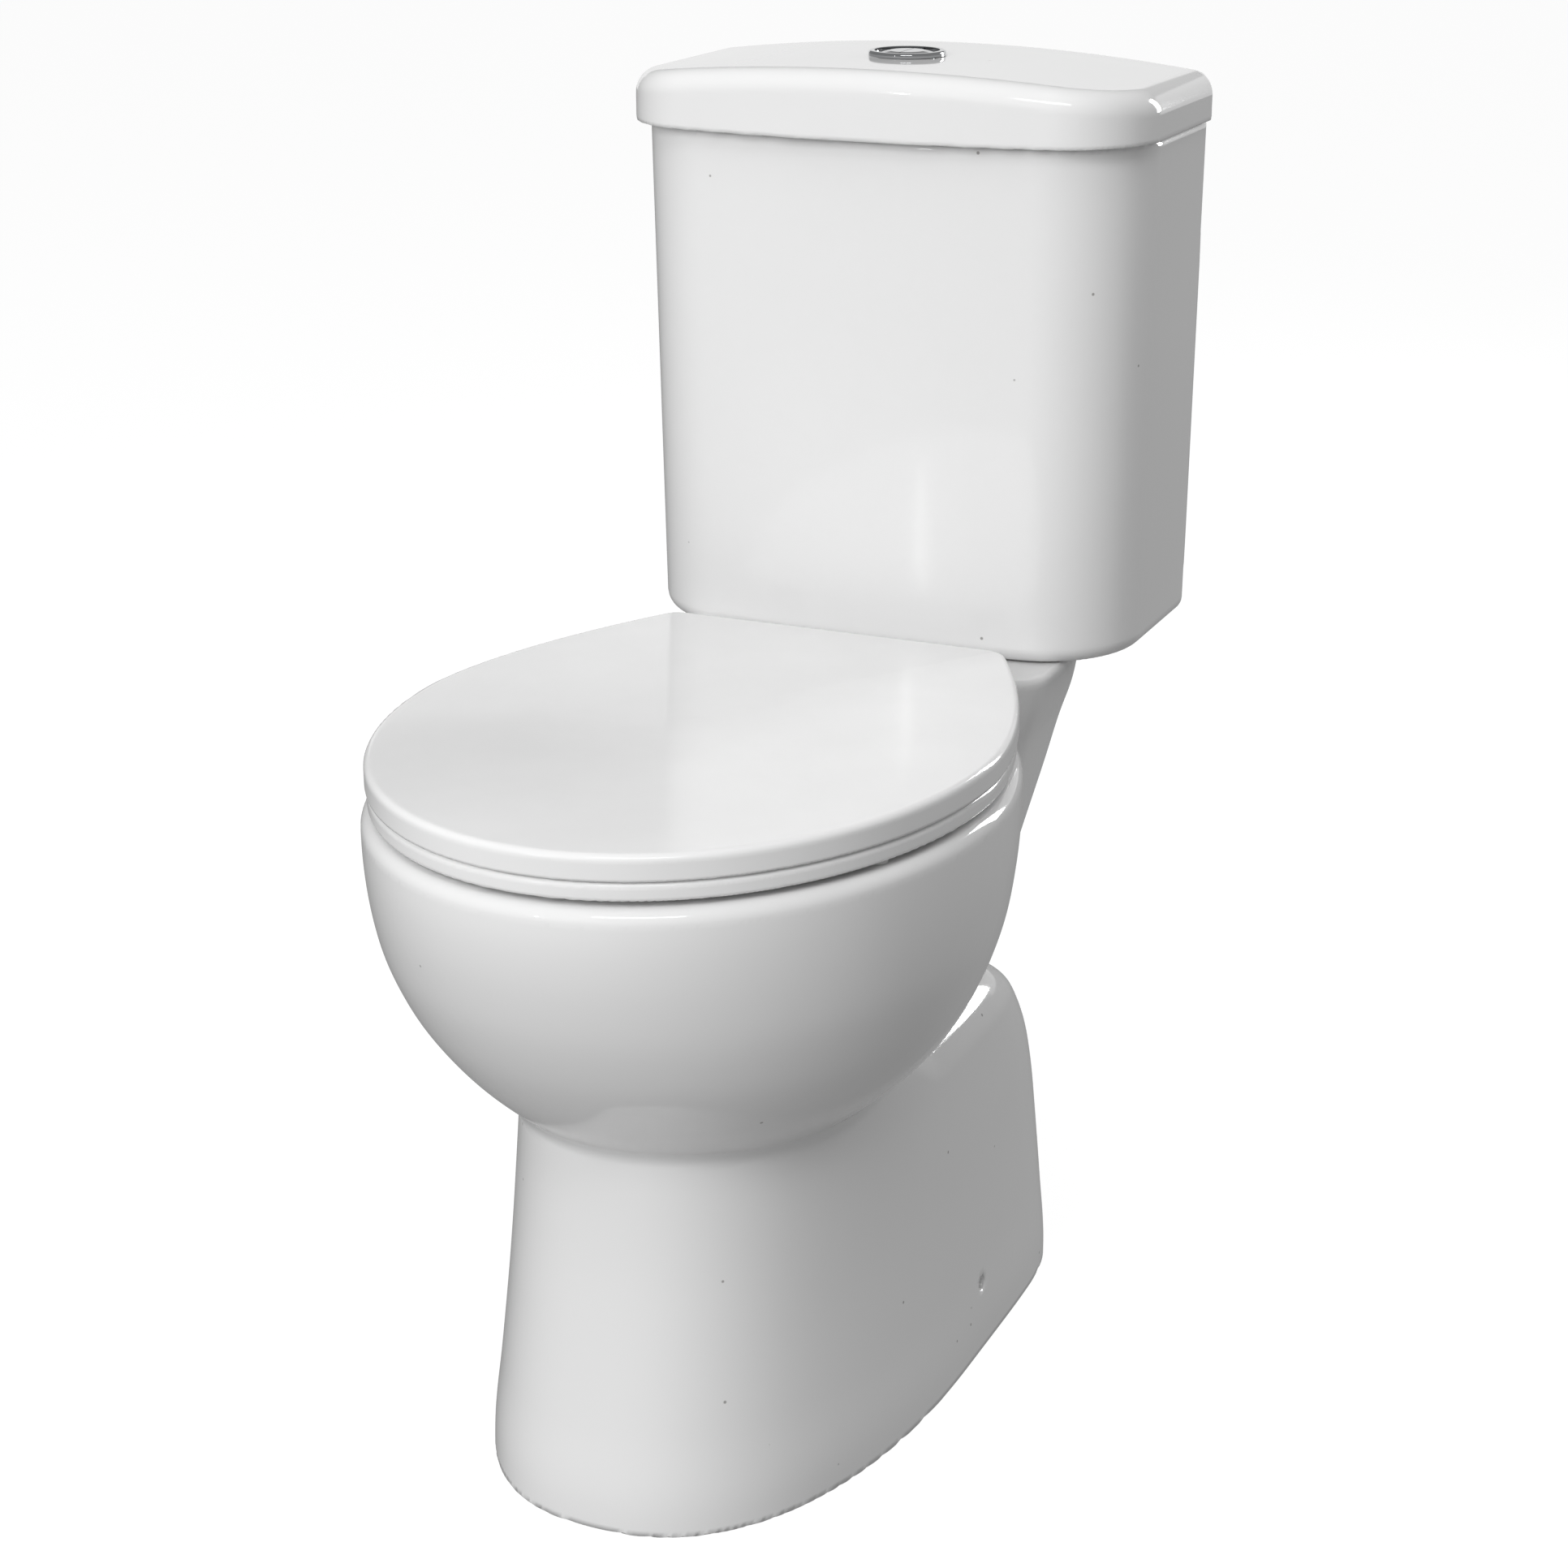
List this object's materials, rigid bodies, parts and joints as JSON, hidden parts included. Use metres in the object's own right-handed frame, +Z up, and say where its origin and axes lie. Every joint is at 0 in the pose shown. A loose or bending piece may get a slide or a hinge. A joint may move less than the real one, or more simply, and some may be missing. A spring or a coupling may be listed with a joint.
{
  "type": "close coupled toilet",
  "caption": "Close coupled toilet with rounded bowl, D-shaped seat and cover, skirted foot and a bowed cistern with lift-off lid and dual flush button.",
  "frame": {"origin": "on the floor, under the middle of the whole toilet's outline", "axes": "+Z up, front towards -Y, wall towards +Y, X is left to right and the plane of symmetry is X = 0"},
  "size_m": [0.3654, 0.631, 0.7923],
  "materials": {
    "glaze": "glossy white glaze",
    "seat_plastic": "glossy white thermoset",
    "chrome": "polished plating",
    "steel": "satin stainless",
    "valve_white": "moulded white",
    "valve_grey": "moulded grey",
    "valve_blue": "moulded blue",
    "rubber": "soft black rubber",
    "buffer": "soft pale rubber"
  },
  "bodies": {
    "root": {"pan": "glaze", "cistern_tank": "glaze", "hinge_post_right": "chrome", "hinge_post_left": "chrome", "hinge_pins": "steel", "hinge_bolts": "steel", "hinge_washers": "rubber", "hinge_nuts": "valve_white", "flush_valve_body": "valve_white", "flush_valve_gasket": "rubber", "flush_valve_nut": "valve_grey", "coupling_seal": "rubber", "flush_valve_tower": "valve_grey", "lever_pins": "steel", "coupling_bolts": "steel", "coupling_seal_washers": "rubber", "coupling_washers": "steel", "coupling_wing_nuts": "steel", "fill_valve_body": "valve_white", "fill_valve_washer": "rubber", "fill_valve_nut": "valve_white", "fill_valve_cap": "valve_grey", "fill_valve_pin": "steel", "floor_brackets": "valve_white", "side_fixing_screws": "steel"},
    "lid": {"cistern_lid": "glaze", "button_bezel": "chrome", "button_nut": "valve_white", "button_gasket": "rubber"},
    "full_button": {"full_flush_button": "chrome", "full_flush_rod": "valve_blue", "full_flush_spring": "steel"},
    "half_button": {"half_flush_button": "chrome", "half_flush_rod": "valve_blue", "half_flush_spring": "steel"},
    "seat": {"seat_ring": "seat_plastic", "seat_ring_buffers": "buffer"},
    "cover": {"seat_cover": "seat_plastic", "cover_buffers": "buffer"},
    "valve_core": {"overflow_tube": "valve_white", "flush_valve_seal": "rubber", "half_flush_float": "valve_blue"},
    "full_lever": {"full_flush_lever": "valve_blue"},
    "half_lever": {"half_flush_lever": "valve_blue"},
    "float": {"fill_valve_float": "valve_blue"},
    "float_arm": {"fill_valve_arm": "valve_grey"}
  },
  "joints": [
    {"name": "seat_hinge", "type": "hinge", "parent": "root", "child": "seat", "pos_m": [0, 0.0985, 0.4297], "axis": [1, 0, 0], "range_deg": [-92, 0]},
    {"name": "cover_hinge", "type": "hinge", "parent": "seat", "child": "cover", "pos_m": [0, 0.0985, 0.4297], "axis": [-1, 0, 0], "range_deg": [0, 92]},
    {"name": "lid_lift", "type": "slide", "parent": "root", "child": "lid", "axis": [0, 0, 1], "range_m": [0, 0.25]},
    {"name": "full_flush_press", "type": "slide", "parent": "lid", "child": "full_button", "axis": [0, 0, -1], "range_m": [0, 0.006], "stiffness_N_per_m": 300, "springref_m": -0.005, "deforming": ["full_flush_spring"]},
    {"name": "half_flush_press", "type": "slide", "parent": "lid", "child": "half_button", "axis": [0, 0, -1], "range_m": [0, 0.006], "stiffness_N_per_m": 300, "springref_m": -0.005, "deforming": ["half_flush_spring"]},
    {"name": "float_rise", "type": "slide", "parent": "root", "child": "float", "axis": [0, 0, 1], "range_m": [0, 0.022]},
    {"name": "float_arm_hinge", "type": "hinge", "parent": "root", "child": "float_arm", "pos_m": [-0.12, 0.2555, 0.706], "axis": [0, -1, 0], "range_deg": [0, 60]},
    {"name": "full_lever_hinge", "type": "hinge", "parent": "root", "child": "full_lever", "pos_m": [0.009, 0.2555, 0.664], "axis": [1, 0, 0], "range_deg": [0, 11]},
    {"name": "half_lever_hinge", "type": "hinge", "parent": "root", "child": "half_lever", "pos_m": [-0.009, 0.2555, 0.664], "axis": [1, 0, 0], "range_deg": [0, 11]},
    {"name": "valve_core_lift", "type": "slide", "parent": "root", "child": "valve_core", "axis": [0, 0, 1], "range_m": [0, 0.02]}
  ],
  "couplings": [
    {"joint": "full_lever_hinge", "follows": "full_flush_press", "rad_per_m": 31.5},
    {"joint": "half_lever_hinge", "follows": "half_flush_press", "rad_per_m": 31.5},
    {"joint": "valve_core_lift", "follows": "full_flush_press", "ratio": 3},
    {"joint": "float_arm_hinge", "follows": "float_rise", "rad_per_m": 45}
  ]
}
